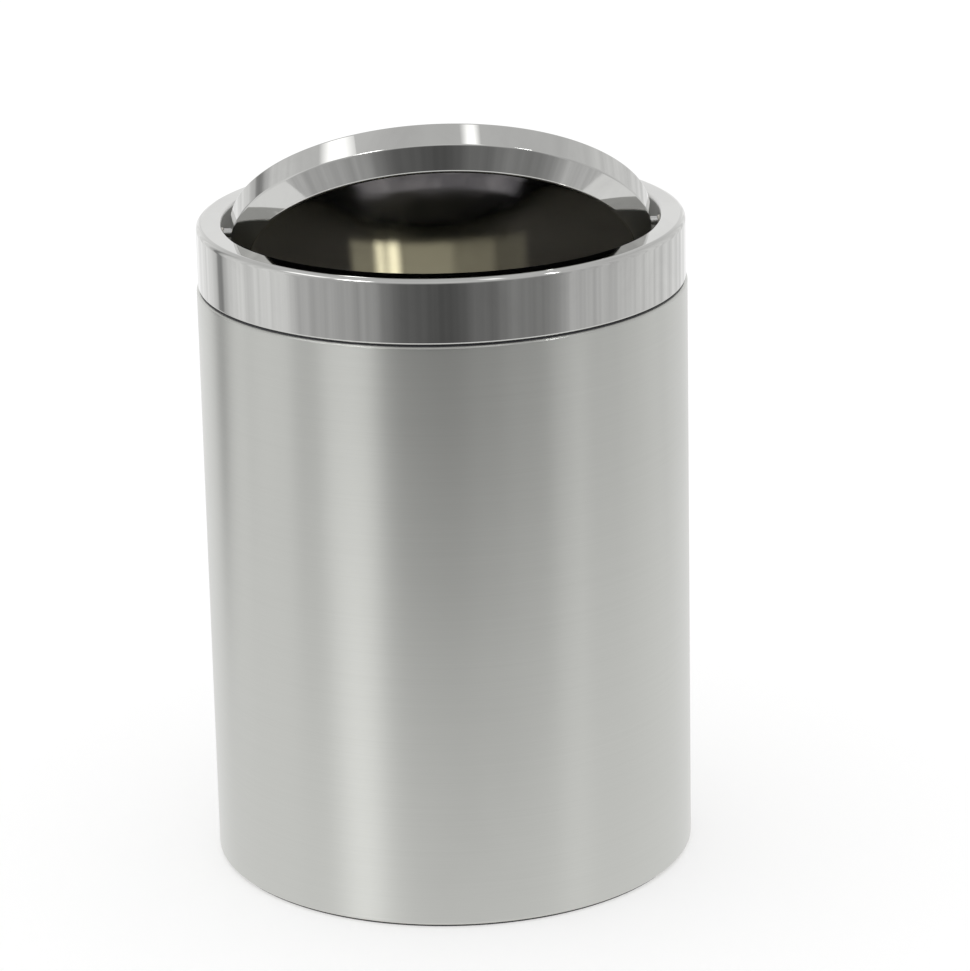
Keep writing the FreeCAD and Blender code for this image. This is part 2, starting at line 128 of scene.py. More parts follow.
class BodySizes(bpy.types.PropertyGroup):
    radius: length("Radius", "Outside radius of the tube", BODY_HIGH.x)
    foot: length("Foot", "Height of the turned-in foot's underside", BODY_LOW.z)
    rim: length("Rim", "Height of the turned-in rim's top", BODY_HIGH.z)
    sheet: length("Sheet", "Thickness of the steel", 0.8 * MM)
    rim_ledge: length("Rim Ledge", "How far the rim turns in", 5 * MM)
    foot_ledge: length("Foot Ledge", "How far the foot turns in", 6 * MM)
    rim_bend: length("Rim Bend", "Bend radius at the rim, to the middle of the sheet", 0.7 * MM)
    foot_bend: length("Foot Bend", "Bend radius at the foot, to the middle of the sheet", 1.0 * MM)


class BaseSizes(bpy.types.PropertyGroup):
    radius: length("Radius", "Outside radius of the floor", BASE_HIGH.x)
    foot: length("Foot", "Height of the floor's lower edge", BASE_LOW.z)
    top: length("Top", "Height of the floor's upper face", BASE_HIGH.z)
    wall: length("Wall", "Thickness of the plastic", 1.6 * MM)
    bend: length("Bend", "Bend radius at the edge, to the middle of the wall", 2.6 * MM)
    panel_radius: length("Panel Radius", "Radius of the sunk panel", 70 * MM)
    panel_drop: length("Panel Drop", "How far the panel is sunk", 2 * MM)
    panel_bend: length("Panel Bend", "Bend radius at the panel's edge", 1.5 * MM)


class CollarSizes(bpy.types.PropertyGroup):
    radius: length("Radius", "Outside radius of the ring", COLLAR_HIGH.x)
    foot: length("Foot", "Height of the lower edge, at the seam", COLLAR_LOW.z)
    top: length("Top", "Height of the flat top", COLLAR_HIGH.z)
    sheet: length("Sheet", "Thickness of the steel", 0.8 * MM)
    band: length("Band", "Width of the ring seen from above", 10.3 * MM)
    outer_bend: length("Outer Bend", "Bend radius at the outer edge, to the middle of the sheet", 2.1 * MM)
    inner_bend: length("Inner Bend", "Bend radius at the inner edge, to the middle of the sheet", 0.9 * MM)
    hem: length("Hem", "Height of the folded hem", 4 * MM)
    hem_gap: length("Hem Gap", "Space left inside the folded hem", 0.04 * MM)
    bush_hole: length("Bush Hole", "Radius of the holes for the bushes", 1.78 * MM)


class LidSizes(bpy.types.PropertyGroup):
    radius: length("Radius", "Outside radius of the straight wall", LID_HIGH.x)
    sheet: length("Sheet", "Thickness of the steel", 0.7 * MM)
    rise: length("Rise", "Height of the rim above the pivot axis", 4.1 * MM)
    wall: length("Wall", "Height of the straight wall", 9.6 * MM)
    depth: length("Depth", "Depth of the dish from its rim to its crease", 17.6 * MM)
    taper: length("Taper", "How much narrower the crease is than the straight wall", 7.4 * MM)
    crown: length("Crown", "How far the floor of the dish rises to its middle", 0.8 * MM)
    crease_bend: length("Crease Bend", "Bend radius round the floor, to the middle of the sheet", 1.65 * MM)
    corner_bend: length("Corner Bend", "Bend radius below the wall, to the middle of the sheet", 0.95 * MM)
    fold: length("Fold", "How far the fold inside the rim reaches below the pivot axis", 3.2 * MM)
    fold_gap: length("Fold Gap", "Space left inside the fold", 0.04 * MM)
    pin_hole: length("Pin Hole", "Radius of the holes for the pins", 1.3 * MM)
    tilt: FloatProperty(
        name="Tilt", description="How far the lid is swung from level, front edge up",
        default=math.radians(40), subtype="ANGLE")


class NutSizes(bpy.types.PropertyGroup):
    flats: length("Flats", "Width across the flats", 5 * MM)
    bore: length("Bore", "Radius of the bore", 1.3 * MM)
    chamfer: length("Chamfer", "Height of the chamfer on the corners", 0.35 * MM)


class SteelFinish(bpy.types.PropertyGroup):
    brushed_dark: tone("Brushed Dark", "Tone in the brush lines", (0.54, 0.545, 0.52, 1))
    brushed_light: tone("Brushed Light", "Tone between the brush lines", (0.575, 0.58, 0.555, 1))
    inside: tone("Inside", "Tone of the plain sheet inside the bin", (0.5, 0.485, 0.41, 1))
    polished: tone("Polished", "Tone of the mirror polish", (0.6, 0.6, 0.585, 1))
    hazed: tone("Hazed", "Tone of the polish where it is handled", (0.56, 0.558, 0.545, 1))
    turned_dark: tone("Turned Dark", "Tone in the tool lines of the turned pieces", (0.5, 0.5, 0.49, 1))
    turned_light: tone("Turned Light", "Tone between the tool lines", (0.72, 0.72, 0.7, 1))
    brushed_stretch: share("Brushed Stretch", "How far highlights stretch across the brush lines", 0.9)


class PlasticFinish(bpy.types.PropertyGroup):
    black: tone("Black", "Tone of the black rings", (0.012, 0.012, 0.016, 1))
    black_worn: tone("Black Worn", "Tone of the black rings where they are rubbed", (0.026, 0.026, 0.033, 1))
    natural: tone("Natural", "Tone of the bushes", (0.78, 0.76, 0.7, 1))
    natural_shaded: tone("Natural Shaded", "Darker tone in the bushes", (0.66, 0.63, 0.56, 1))


class StageSettings(bpy.types.PropertyGroup):
    camera_place: FloatVectorProperty(
        name="Camera Place", description="Where the camera stands",
        default=(-0.0371, -1.7068, 0.7145), subtype="TRANSLATION", unit="LENGTH")
    yaw: FloatProperty(
        name="Yaw", description="How far the camera turns to the right",
        default=math.radians(1.771), subtype="ANGLE")
    pitch: FloatProperty(
        name="Pitch", description="How far the camera looks down",
        default=math.radians(18.151), subtype="ANGLE")
    roll: FloatProperty(
        name="Roll", description="How far the camera leans",
        default=math.radians(-1.232), subtype="ANGLE")
    lens: FloatProperty(name="Lens", description="Focal length", default=160.78, unit="CAMERA")
    ambient: FloatProperty(name="Ambient", description="Light from all round", default=1.1, min=0)
    sky: FloatProperty(name="Sky", description="Level of the sky in reflections", default=1.0, min=0)
    ceiling: FloatProperty(name="Ceiling", description="Level of the ceiling in them", default=0.72, min=0)
    ceiling_height: length("Ceiling Height", "Height of the ceiling above the floor", 1.0)
    ceiling_radius: length("Ceiling Radius", "Radius of the round ceiling", 1.6)
    beam_aim: FloatVectorProperty(
        name="Beam Aim", description="Point between collar and lid that the beams go through",
        default=(0, -0.078, 0.288), subtype="TRANSLATION", unit="LENGTH")
    beam_distance: length("Beam Distance", "Distance of the beams' lamps from there", 1.2)
    beam_lamp: length("Beam Lamp", "Radius of the beams' lamps", 0.002)
    beam_tint: FloatVectorProperty(
        name="Beam Tint", description="Tint of the beams", default=(1, 0.95, 0.78), subtype="COLOR")
    floor: tone("Floor", "Tone of the floor", (0.98, 0.98, 0.98, 1))
    floor_lift: share("Floor Lift", "How far the camera sees the floor lifted to white", 0.5)
    flag_radius: length("Flag Radius", "Distance of the flags from the bin's axis", 0.55)
    flag_height: length("Flag Height", "Height of the flags", 0.6)


class TrashCan(bpy.types.PropertyGroup):
    body: PointerProperty(type=BodySizes, name="Body", description="Sizes of the body")
    base: PointerProperty(type=BaseSizes, name="Base", description="Sizes of the base")
    collar: PointerProperty(type=CollarSizes, name="Collar", description="Sizes of the collar")
    lid: PointerProperty(type=LidSizes, name="Lid", description="Sizes of the lid")
    nut: PointerProperty(type=NutSizes, name="Nut", description="Sizes of the pivot nuts")
    steel: PointerProperty(type=SteelFinish, name="Steel", description="Finishes of the steel pieces")
    plastic: PointerProperty(
        type=PlasticFinish, name="Plastic", description="Finishes of the plastic pieces")
    stage: PointerProperty(type=StageSettings, name="Stage", description="Camera, light and floor")


def deselect_all():
    bpy.ops.object.select_all(action="DESELECT")


def pick_vertices(piece, test):
    """Select only the vertices that pass the test."""
    bpy.ops.mesh.select_mode(type="VERT")
    bpy.ops.mesh.select_all(action="DESELECT")
    mesh = bmesh.from_edit_mesh(piece.data)
    for vertex in mesh.verts:
        vertex.select = test(vertex.co)
    mesh.select_flush_mode()
    bmesh.update_edit_mesh(piece.data)


def pick_edges(piece, test):
    """Select only the edges whose middle passes the test."""
    bpy.ops.mesh.select_mode(type="EDGE")
    bpy.ops.mesh.select_all(action="DESELECT")
    mesh = bmesh.from_edit_mesh(piece.data)
    for edge in mesh.edges:
        edge.select = test((edge.verts[0].co + edge.verts[1].co) / 2)
    mesh.select_flush_mode()
    bmesh.update_edit_mesh(piece.data)


def draw_line(name, corners):
    """Draw an open line from corner to corner, starting from a small plane drawn together to a point."""
    deselect_all()
    bpy.ops.mesh.primitive_plane_add(size=MM, location=corners[0])
    bpy.ops.object.transform_apply(location=True, rotation=False, scale=False)
    piece = bpy.context.active_object
    piece.name = name
    piece.data.name = name
    bpy.ops.object.mode_set(mode="EDIT")
    bpy.ops.mesh.select_mode(type="VERT")
    bpy.ops.mesh.merge(type="CENTER")
    for start, end in zip(corners, corners[1:]):
        bpy.ops.mesh.extrude_vertices_move(TRANSFORM_OT_translate={"value": end - start})
    return piece


def bend_corners(piece, corners, bends):
    """Round the inner corners of a drawn line. A bend of 0 leaves its corner sharp."""
    for before, corner, after, bend in zip(corners, corners[1:], corners[2:], bends):
        if not bend:
            continue
        turn = (corner - before).angle(after - corner)
        pick_vertices(piece, lambda place: (place - corner).length < NEAR)
        bpy.ops.mesh.bevel(
            offset=bend * math.tan(turn / 2), segments=BEND_STEPS, affect="VERTICES", clamp_overlap=False)


def divide_long_edges(piece):
    """Cut the long straight runs of a drawn line into shorter edges."""
    mesh = bmesh.from_edit_mesh(piece.data)
    runs = []
    for edge in mesh.edges:
        ends = edge.verts[0].co, edge.verts[1].co
        cuts = int((ends[1] - ends[0]).length / LONGEST_EDGE)
        if cuts:
            runs.append(((ends[0] + ends[1]) / 2, cuts))
    for middle, cuts in runs:
        pick_edges(piece, lambda place: (place - middle).length < NEAR)
        bpy.ops.mesh.subdivide(number_cuts=cuts)


def spin_round(centre, axis):
    """Turn a drawn line all the way round, close the seam and the pole, and face it outwards."""
    bpy.ops.mesh.select_mode(type="VERT")
    bpy.ops.mesh.select_all(action="SELECT")
    bpy.ops.mesh.spin(steps=TURN_STEPS, angle=FULL_TURN, center=centre, axis=axis)
    bpy.ops.mesh.select_all(action="SELECT")
    bpy.ops.mesh.remove_doubles(threshold=NEAR)
    bpy.ops.mesh.normals_make_consistent(inside=False)
    bpy.ops.object.mode_set(mode="OBJECT")


def make_active(piece):
    deselect_all()
    piece.select_set(True)
    bpy.context.view_layer.objects.active = piece


def apply_modifier(piece, modifier):
    make_active(piece)
    bpy.ops.object.modifier_apply(modifier=modifier.name)


def thicken(piece, sheet):
    """Give a spun sheet its thickness, half to each side."""
    solid = piece.modifiers.new("Sheet", "SOLIDIFY")
    solid.thickness = sheet
    solid.offset = 0
    solid.use_even_offset = True
    apply_modifier(piece, solid)


def combine(piece, tool, operation):
    """Cut a piece with a tool or to it, and take the tool away."""
    cut = piece.modifiers.new("Cut", "BOOLEAN")
    cut.operation = operation
    cut.solver = "EXACT"
    cut.object = tool
    apply_modifier(piece, cut)
    make_active(tool)
    bpy.ops.object.delete()


def drill_pivot(piece, radius):
    """Drill through both sides of a piece along the pivot axis, as far as the collar's hollow."""
    deselect_all()
    bpy.ops.mesh.primitive_cylinder_add(
        vertices=HOLE_STEPS, radius=radius, depth=2 * DRILL_REACH,
        location=PIVOT, rotation=(0, math.pi / 2, 0))
    combine(piece, bpy.context.active_object, "DIFFERENCE")


def smooth(piece):
    """Shade the bends smooth and keep the flat faces flat."""
    make_active(piece)
    bpy.ops.object.shade_smooth_by_angle(angle=SMOOTH_ANGLE)
    flats = piece.modifiers.new("Flats", "WEIGHTED_NORMAL")
    flats.keep_sharp = True
    apply_modifier(piece, flats)


def spun_sheet(name, corners, bends, sheet, centre, axis):
    """A sheet piece as a metal spinner makes it, from the middle line of its section."""
    piece = draw_line(name, corners)
    bend_corners(piece, corners, bends)
    divide_long_edges(piece)
    spin_round(centre, axis)
    thicken(piece, sheet)
    return piece


def add_node(tree, kind, values=None, **settings):
    """Add a node, make its settings, and set or link its inputs."""
    node = tree.nodes.new(kind)
    for name, setting in settings.items():
        setattr(node, name, setting)
    for socket, given in (values or {}).items():
        if isinstance(given, bpy.types.NodeSocket):
            tree.links.new(given, node.inputs[socket])
        else:
            node.inputs[socket].default_value = given
    return node


def calculate(tree, operation, *given):
    values = dict(enumerate(given))
    return add_node(tree, "ShaderNodeMath", values, operation=operation).outputs[0]


def stretch(tree, vector, by):
    return add_node(tree, "ShaderNodeVectorMath", {0: vector, 1: by}, operation="MULTIPLY").outputs[0]


def distance_from_axis(tree, vector):
    level = stretch(tree, vector, (1, 1, 0))
    return add_node(tree, "ShaderNodeVectorMath", {0: level}, operation="LENGTH").outputs["Value"]


def noise(tree, vector, scale, detail, roughness=0.5, distortion=0.0):
    values = {
        "Vector": vector, "Scale": scale, "Detail": detail,
        "Roughness": roughness, "Distortion": distortion,
    }
    return add_node(tree, "ShaderNodeTexNoise", values).outputs[0]


def ramp(tree, given, low, high, to_low=0.0, to_high=1.0):
    """Spread the part of a value from low to high over a new range."""
    values = {0: given, 1: low, 2: high, 3: to_low, 4: to_high}
    return add_node(tree, "ShaderNodeMapRange", values).outputs[0]


def mix_colour(tree, factor, first, second):
    values = {0: factor, 6: first, 7: second}
    return add_node(tree, "ShaderNodeMix", values, data_type="RGBA").outputs[2]


def mix_value(tree, factor, first, second):
    return add_node(tree, "ShaderNodeMix", {0: factor, 2: first, 3: second}).outputs[0]


def new_group(name, inputs, outputs):
    """An empty node group with its sockets. Inputs map names to defaults, None for a vector."""
    tree = bpy.data.node_groups.new(name, "ShaderNodeTree")
    for label, default in inputs.items():
        kind = "NodeSocketVector" if default is None else "NodeSocketFloat"
        socket = tree.interface.new_socket(label, in_out="INPUT", socket_type=kind)
        if default is not None:
            socket.default_value = default
    for label in outputs:
        tree.interface.new_socket(label, in_out="OUTPUT", socket_type="NodeSocketFloat")
    return tree, tree.nodes.new("NodeGroupInput").outputs, tree.nodes.new("NodeGroupOutput").inputs


def brush_lines_group():
    """Fine lines that run along X and Y and change along Z, with a broader shade over them."""
    if "Brush Lines" in bpy.data.node_groups:
        return bpy.data.node_groups["Brush Lines"]
    tree, given, out = new_group(
        "Brush Lines", {"Vector": None, "Across": 1500.0, "Along": 8.0}, ("Shade", "Height"))
    grain = add_node(tree, "ShaderNodeCombineXYZ", {
        0: given["Along"], 1: given["Along"], 2: given["Across"]}).outputs[0]
    lines = stretch(tree, given["Vector"], grain)
    fine = noise(tree, lines, scale=1.0, detail=4.0, roughness=0.65)
    broad = noise(tree, lines, scale=0.15, detail=2.0)
    shade = mix_value(tree, 0.25, fine, broad)
    tree.links.new(ramp(tree, shade, *NOISE_SPAN), out["Shade"])
    tree.links.new(fine, out["Height"])
    return tree


def polish_haze_group():
    """Faint smears left by polishing cloths and hands, and the slow waves of a drawn sheet."""
    if "Polish Haze" in bpy.data.node_groups:
        return bpy.data.node_groups["Polish Haze"]
    tree, given, out = new_group("Polish Haze", {"Vector": None, "Scale": 30.0}, ("Haze", "Wave"))
    smears = noise(tree, given["Vector"], given["Scale"], detail=6.0, roughness=0.6, distortion=0.8)
    tree.links.new(ramp(tree, smears, low=0.48, high=0.72), out["Haze"])
    tree.links.new(noise(tree, given["Vector"], given["Scale"], detail=1.0), out["Wave"])
    return tree


def moulded_grain_group():
    """The fine matt grain of a moulded face, and the uneven tone of handled plastic."""
    if "Moulded Grain" in bpy.data.node_groups:
        return bpy.data.node_groups["Moulded Grain"]
    tree, given, out = new_group("Moulded Grain", {"Vector": None, "Scale": 2500.0}, ("Grain", "Mottle"))
    tree.links.new(noise(tree, given["Vector"], given["Scale"], detail=2.0), out["Grain"])
    coarse_scale = calculate(tree, "MULTIPLY", given["Scale"], 0.03)
    spots = noise(tree, given["Vector"], coarse_scale, detail=4.0, roughness=0.6)
    tree.links.new(ramp(tree, spots, low=0.4, high=0.7), out["Mottle"])
    return tree


def place_group(tree, group, **values):
    return add_node(tree, "ShaderNodeGroup", values, node_tree=group).outputs


def new_material(name):
    """A material with one principled shader, and the place on the piece that its patterns read."""
    material = bpy.data.materials.new(name)
    material.use_nodes = True
    tree = material.node_tree
    tree.nodes.clear()
    shader = tree.nodes.new("ShaderNodeBsdfPrincipled")
    output = tree.nodes.new("ShaderNodeOutputMaterial")
    tree.links.new(shader.outputs[0], output.inputs[0])
    place = tree.nodes.new("ShaderNodeTexCoord").outputs["Object"]
    return material, tree, shader, place


def bump(tree, shader, height, depth, strength):
    values = {"Height": height, "Distance": depth, "Strength": strength}
    tree.links.new(add_node(tree, "ShaderNodeBump", values).outputs[0], shader.inputs["Normal"])


def brushed_body_material(can):
    """Steel brushed round the tube outside, and plain rolled sheet inside."""
    steel = can.steel
    material, tree, shader, place = new_material("Brushed Body")
    lines = place_group(tree, brush_lines_group(), Vector=place, **BODY_LINES)
    haze = place_group(tree, polish_haze_group(), Vector=place, Scale=BODY_HAZE_SCALE)
    in_tube = calculate(
        tree, "LESS_THAN", distance_from_axis(tree, place), can.body.radius - can.body.sheet / 2)
    height = add_node(tree, "ShaderNodeSeparateXYZ", {0: place}).outputs["Z"]
    under_rim = calculate(tree, "LESS_THAN", height, can.body.rim - INSIDE_START * can.body.sheet)
    inside = calculate(tree, "MULTIPLY", in_tube, under_rim)
    brushed = mix_colour(tree, lines["Shade"], steel.brushed_dark, steel.brushed_light)
    tree.links.new(mix_colour(tree, inside, brushed, steel.inside), shader.inputs["Base Color"])
    line_rough = ramp(tree, lines["Shade"], 0, 1, *BRUSHED_ROUGH)
    haze_rough = ramp(tree, haze["Haze"], 0, 1, *HAZE_ROUGH)
    rough = calculate(tree, "ADD", line_rough, haze_rough)
    tree.links.new(mix_value(tree, inside, rough, INSIDE_ROUGH), shader.inputs["Roughness"])
    tree.links.new(ramp(tree, inside, 0, 1, 1, INSIDE_METALLIC), shader.inputs["Metallic"])
    shader.inputs["Anisotropic"].default_value = steel.brushed_stretch
    shader.inputs["Anisotropic Rotation"].default_value = BRUSHED_TURN
    bump(tree, shader, lines["Height"], *BODY_RELIEF)
    return material


def polished_material(can, name, axis_turn, dull_radius):
    """Mirror-polished sheet with faint smears and the slow waves of drawing, dull near the axis."""
    steel = can.steel
    material, tree, shader, place = new_material(name)
    local = add_node(tree, "ShaderNodeMapping", {
        "Vector": place, "Rotation": (axis_turn, 0, 0)}, vector_type="TEXTURE").outputs[0]
    haze = place_group(tree, polish_haze_group(), Vector=local, Scale=POLISH_HAZE_SCALE)
    tree.links.new(mix_colour(tree, haze["Haze"], steel.polished, steel.hazed), shader.inputs["Base Color"])
    dull = calculate(tree, "LESS_THAN", distance_from_axis(tree, local), dull_radius)
    rough = ramp(tree, haze["Haze"], 0, 1, *POLISHED_ROUGH)
    tree.links.new(mix_value(tree, dull, rough, DULL_ROUGH), shader.inputs["Roughness"])
    shader.inputs["Metallic"].default_value = 1
    bump(tree, shader, haze["Wave"], *WAVE_RELIEF)
    return material


def turned_steel_material(can):
    """Bright turned steel with fine tool lines round the pivot axis."""
    steel = can.steel
    material, tree, shader, place = new_material("Turned Steel")
    along = add_node(tree, "ShaderNodeMapping", {
        "Vector": place, "Rotation": (0, math.pi / 2, 0)}).outputs[0]
    lines = place_group(tree, brush_lines_group(), Vector=along, **TOOL_LINES)
    turned = mix_colour(tree, lines["Shade"], steel.turned_dark, steel.turned_light)
    tree.links.new(turned, shader.inputs["Base Color"])
    tree.links.new(ramp(tree, lines["Shade"], 0, 1, *TURNED_ROUGH), shader.inputs["Roughness"])
    shader.inputs["Metallic"].default_value = 1
    bump(tree, shader, lines["Height"], *TOOL_RELIEF)
    return material


def moulded_material(name, base, worn, grain_scale, rough_low, rough_high):
    """Moulded plastic with a fine grain and an uneven tone."""
    material, tree, shader, place = new_material(name)
    grain = place_group(tree, moulded_grain_group(), Vector=place, Scale=grain_scale)
    tree.links.new(mix_colour(tree, grain["Mottle"], base, worn), shader.inputs["Base Color"])
    tree.links.new(ramp(tree, grain["Mottle"], 0, 1, rough_low, rough_high), shader.inputs["Roughness"])
    bump(tree, shader, grain["Grain"], *GRAIN_RELIEF)
    return material


def shared_material(name, make, *given):
    """The material of that name, made the first time it is asked for."""
    return bpy.data.materials.get(name) or make(*given)


def black_plastic(can):
    return shared_material(
        "Black Plastic", moulded_material, "Black Plastic",
        can.plastic.black, can.plastic.black_worn, BLACK_GRAIN_SCALE, *BLACK_ROUGH)


def dress_node(node, material):
    """Put a finish in a CAD node's own slot."""
    frame["nodes"][node].material_slots[0].material = material


def dress_piece(piece, material, body, slot, *stands_for):
    """Finish a new piece, ride it on its body and let it stand for the CAD nodes."""
    piece.data.materials.clear()
    piece.data.materials.append(material)
    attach(piece, body)
    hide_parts(*stands_for)


def upright(corners):
    """Corners of a section, as distances from the bin's axis and heights above the floor."""
    return [Vector((across, 0, height)) for across, height in corners]


class TRASHCAN_OT_body(bpy.types.Operator):
    """Spin the brushed body with its turned-in rim and foot"""
    bl_idname = "trash_can.body"
    bl_label = "Brushed Body"

    def execute(self, context):
        can = context.scene.trash_can
        body = can.body
        half = body.sheet / 2
        wall = body.radius - half
        low = body.foot + half
        high = body.rim - half
        corners = upright([
            (body.radius - body.foot_ledge, low), (wall, low),
            (wall, high), (body.radius - body.rim_ledge, high),
        ])
        bends = (body.foot_bend, body.rim_bend)
        piece = spun_sheet("body_tube", corners, bends, body.sheet, Vector(), UP)
        smooth(piece)
        dress_piece(piece, brushed_body_material(can), "can", "brushed_body", "body_shell")
        return {"FINISHED"}


class TRASHCAN_OT_base(bpy.types.Operator):
    """Spin the moulded floor and finish the foot ring below it"""
    bl_idname = "trash_can.base"
    bl_label = "Base and Foot Ring"

    def execute(self, context):
        can = context.scene.trash_can
        base = can.base
        half = base.wall / 2
        top = base.top - half
        wall = base.radius - half
        corners = upright([
            (0, top - base.panel_drop), (base.panel_radius, top - base.panel_drop),
            (base.panel_radius + base.panel_drop, top), (wall, top), (wall, base.foot),
        ])
        bends = (base.panel_bend, base.panel_bend, base.bend)
        piece = spun_sheet("base_floor", corners, bends, base.wall, Vector(), UP)
        smooth(piece)
        dress_piece(piece, black_plastic(can), "can", "black_plastic", "base_pan")
        dress_node("foot_ring", black_plastic(can))
        return {"FINISHED"}


class TRASHCAN_OT_collar(bpy.types.Operator):
    """Spin the polished collar and finish the locating ring inside it"""
    bl_idname = "trash_can.collar"
    bl_label = "Collar"

    def execute(self, context):
        can = context.scene.trash_can
        collar = can.collar
        half = collar.sheet / 2
        outer = collar.radius - half
        inner = collar.radius - collar.band + half
        fold = outer - collar.sheet
        low = collar.foot + half
        top = collar.top - half
        corners = upright([
            (fold, collar.foot + collar.hem), (fold, low), (outer, low),
            (outer, top), (inner, top), (inner, collar.foot),
        ])
        bends = (0, FOLD_FIT * collar.sheet, collar.outer_bend, collar.inner_bend)
        piece = spun_sheet("collar_ring", corners, bends, collar.sheet - collar.hem_gap, Vector(), UP)
        drill_pivot(piece, collar.bush_hole)
        smooth(piece)
        finish = polished_material(can, "Polished Collar", 0.0, inner)
        dress_piece(piece, finish, "swing_top", "polished_steel", "collar_shell")
        dress_node("locating_ring", black_plastic(can))
        return {"FINISHED"}


class TRASHCAN_OT_lid(bpy.types.Operator):
    """Spin the polished lid about its tilted axis: crowned floor, cone, wall and folded rim"""
    bl_idname = "trash_can.lid"
    bl_label = "Swing Lid"

    def execute(self, context):
        can = context.scene.trash_can
        lid = can.lid
        axis = Vector((0, math.sin(lid.tilt), math.cos(lid.tilt)))
        section = self.section(lid)
        corners = [PIVOT + Vector((across, 0, 0)) + height * axis for across, height in section]
        rim_bend = FOLD_FIT * lid.sheet / 2
        bends = [0] * (CROWN_STEPS - 1) + [lid.crease_bend, lid.corner_bend, rim_bend, rim_bend]
        piece = spun_sheet("lid_pan", corners, bends, lid.sheet - lid.fold_gap, PIVOT, axis)
        drill_pivot(piece, lid.pin_hole)
        smooth(piece)
        finish = polished_material(can, "Polished Lid", -lid.tilt, 0.0)
        dress_piece(piece, finish, "lid", "polished_steel", "lid_dish")
        return {"FINISHED"}

    def section(self, lid):
        """The middle line of the sheet, half a sheet inside the outer faces of floor, cone and wall."""
        half = lid.sheet / 2
        wall = lid.radius - half
        crease = lid.radius - lid.taper
        cone_turn = math.atan2(lid.taper, lid.depth - lid.wall)
        floor_turn = 2 * math.atan2(lid.crown, crease)
        miter = half / (1 + math.sin(cone_turn - floor_turn))
        foot = crease - miter * (math.cos(cone_turn) - math.sin(floor_turn))
        foot_height = lid.rise - lid.depth + miter * (math.sin(cone_turn) + math.cos(floor_turn))
        corner_height = lid.rise - lid.wall + half * math.tan(cone_turn / 2)
        crown_height = lid.rise - lid.depth + lid.crown + half
        fall = crown_height - foot_height
        ball = (foot ** 2 + fall ** 2) / (2 * fall)
        floor = []
        for step in range(CROWN_STEPS + 1):
            across = foot * step / CROWN_STEPS
            floor.append((across, crown_height - ball + math.sqrt(ball ** 2 - across ** 2)))
        fold = wall - lid.sheet
        top = lid.rise - half
        return floor + [(wall, corner_height), (wall, top), (fold, top), (fold, -lid.fold)]


class TRASHCAN_OT_pivots(bpy.types.Operator):
    """Model the chamfered nuts and finish the pins, bushes and clips"""
    bl_idname = "trash_can.pivots"
    bl_label = "Pivots"

    def execute(self, context):
        can = context.scene.trash_can
        turned = turned_steel_material(can)
        natural = moulded_material(
            "Natural Plastic", can.plastic.natural, can.plastic.natural_shaded,
            NATURAL_GRAIN_SCALE, *NATURAL_ROUGH)
        for side in ("left", "right"):
            dress_node(f"pivot_pin_{side}", turned)
            dress_node(f"pivot_clip_{side}", turned)
            dress_node(f"pivot_bush_{side}", natural)
            nut = self.make_nut(can, side)
            dress_piece(nut, turned, "lid", "pivot_steel", f"pivot_nut_{side}")
        return {"FINISHED"}

    def make_nut(self, can, side):
        """A bored hexagon that is turned with the lid, with the corners of its free face taken off."""
        low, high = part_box(f"pivot_nut_{side}")
        height = high.x - low.x
        corner = can.nut.flats / math.sqrt(3)
        free_face = corner - can.nut.chamfer * NUT_CHAMFER_SLOPE
        middle = PIVOT + Vector(((low.x + high.x) / 2, 0, 0))
        lie = (0, -math.copysign(math.pi / 2, middle.x), 0)
        deselect_all()
        bpy.ops.mesh.primitive_cylinder_add(vertices=6, radius=corner, depth=height, rotation=lie)
        nut = bpy.context.active_object
        nut.name = f"nut_{side}"
        nut.data.name = nut.name
        bpy.ops.object.transform_apply(location=False, rotation=True, scale=False)
        nut.rotation_euler = (-can.lid.tilt, 0, 0)
        nut.location = middle
        bpy.ops.object.transform_apply(location=True, rotation=True, scale=False)
        deselect_all()
        past_face = height / 2
        bpy.ops.mesh.primitive_cone_add(
            vertices=HOLE_STEPS, depth=2 * height, location=middle, rotation=lie,
            radius1=free_face + (height + past_face) * NUT_CHAMFER_SLOPE,
            radius2=free_face - past_face * NUT_CHAMFER_SLOPE)
        combine(nut, bpy.context.active_object, "INTERSECT")
        drill_pivot(nut, can.nut.bore)
        smooth(nut)
        return nut


# The floor and the ceiling are round, and the ceiling has soft clouds
DISC_STEPS = 64
FLOOR_RADIUS = 20
FLOOR_ROUGH = 0.8
FLOOR_SPECULAR = 0.1
CLOUD_SCALE = 1.5
CLOUD_DETAIL = 2.0
CLOUD_LEVELS = (0.9, 1.1)
# Flags stand round the bin and show only in its reflections: name, first and last azimuth in degrees
# from the front, positive to the right, and the tone at each of the two
FLAGS = (
    ("front_left", -30, -20, 0.38, 0.18),
    ("front", -20, 8, 0.17, 0.08),
    ("front_right", 8, 23, 0.21, 0.18),
    ("right", 23, 50, 0.29, 0.26),
    ("right_side", 50, 90, 0.58, 0.72),
    ("right_back", 90, 165, 0.8, 1.0),
    ("left", -68, -30, 0.6, 0.44),
    ("left_side", -115, -68, 0.9, 0.85),
    ("left_post", -123, -115, 0.33, 0.33),
    ("left_back", -165, -123, 1.05, 0.92),
)
# Degrees between the edges of a flag, and its upright streaks
FLAG_STEP = 3
STREAK_SCALE = 25.0
STREAK_DETAIL = 3.0
STREAK_STRETCH = (1, 1, 0.05)
STREAK_LEVELS = (0.85, 1.15)
# Neighbouring flags blend over these degrees at each end, or over this share of a narrow flag
FLAG_SOFT = 6
FLAG_SOFT_SHARE = 0.25
# Above this share of its height, a flag blends into the ceiling
FLAG_TOP_SHARE = 0.6
# A lamp's light fades towards its edges, over this length in metres or this share of a small side
LAMP_FADE = 0.1
LAMP_FADE_SHARE = 0.35
